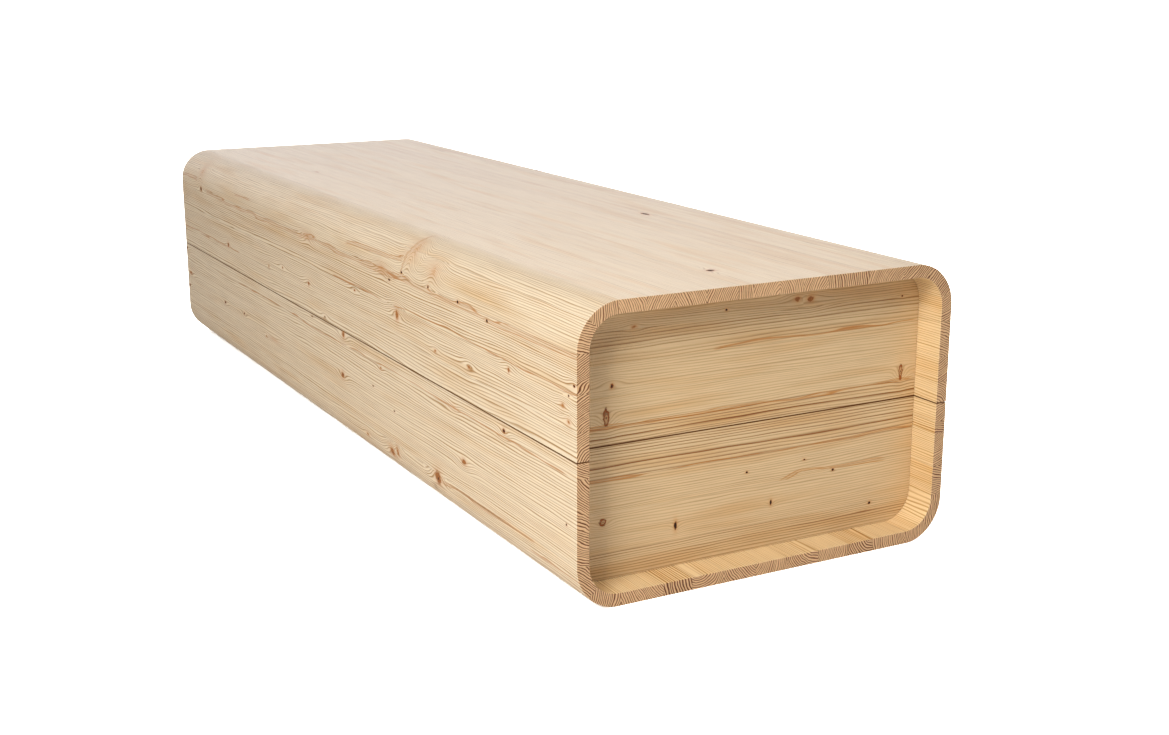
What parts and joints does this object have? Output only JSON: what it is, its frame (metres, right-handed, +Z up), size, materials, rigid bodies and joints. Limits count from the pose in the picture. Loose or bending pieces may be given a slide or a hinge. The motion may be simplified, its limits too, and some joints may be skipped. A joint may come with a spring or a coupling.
{
  "type": "coffin",
  "caption": "Plain spruce coffin of rounded box section: a trough-shaped base and a matching lift-off lid, closed by end panels set back inside the open rims.",
  "frame": {"origin": "on the underside, under the middle of the coffin", "axes": "+X along the coffin to the foot end, +Y across it, +Z up"},
  "size_m": [2, 0.65, 0.442],
  "materials": {
    "spruce_shell": "edge-glued spruce boards, planed and sanded, oiled matt",
    "spruce_end_panel": "edge-glued spruce boards with the grain across the coffin, sanded, oiled matt"
  },
  "bodies": {
    "root": {"base_shell": "spruce_shell", "base_end_panel_foot": "spruce_end_panel", "base_end_panel_head": "spruce_end_panel", "lid_shell": "spruce_shell", "lid_end_panel_foot": "spruce_end_panel", "lid_end_panel_head": "spruce_end_panel"}
  },
  "joints": []
}
